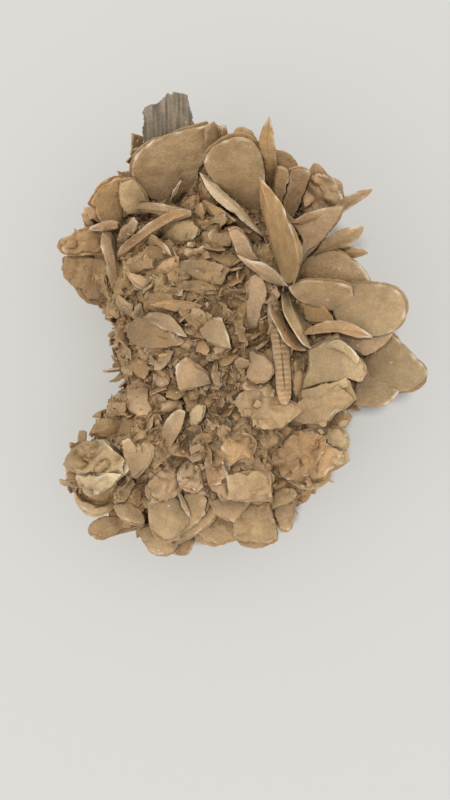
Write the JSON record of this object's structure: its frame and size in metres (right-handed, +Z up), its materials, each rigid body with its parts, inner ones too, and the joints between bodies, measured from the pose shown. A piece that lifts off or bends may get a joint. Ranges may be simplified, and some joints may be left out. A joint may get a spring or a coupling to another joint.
{
  "type": "gypsum sand rose",
  "caption": "Rounded cluster of flat sand-coloured gypsum crystals grown through each other, with upright blades along one end and a flat base to rest on.",
  "frame": {"origin": "middle of the bottom of the bounding box, on the surface that the cluster rests on", "axes": "+Z up, +Y along the longest side towards the grey block and the tall blades, +X towards the side with the long overhanging plates"},
  "size_m": [0.1708, 0.2238, 0.1133],
  "materials": {
    "gypsum": "matt, sandy, with paler rims and a faint waxy sheen on the clean blades"
  },
  "bodies": {
    "root": {"sand_rose": "gypsum"}
  },
  "joints": []
}
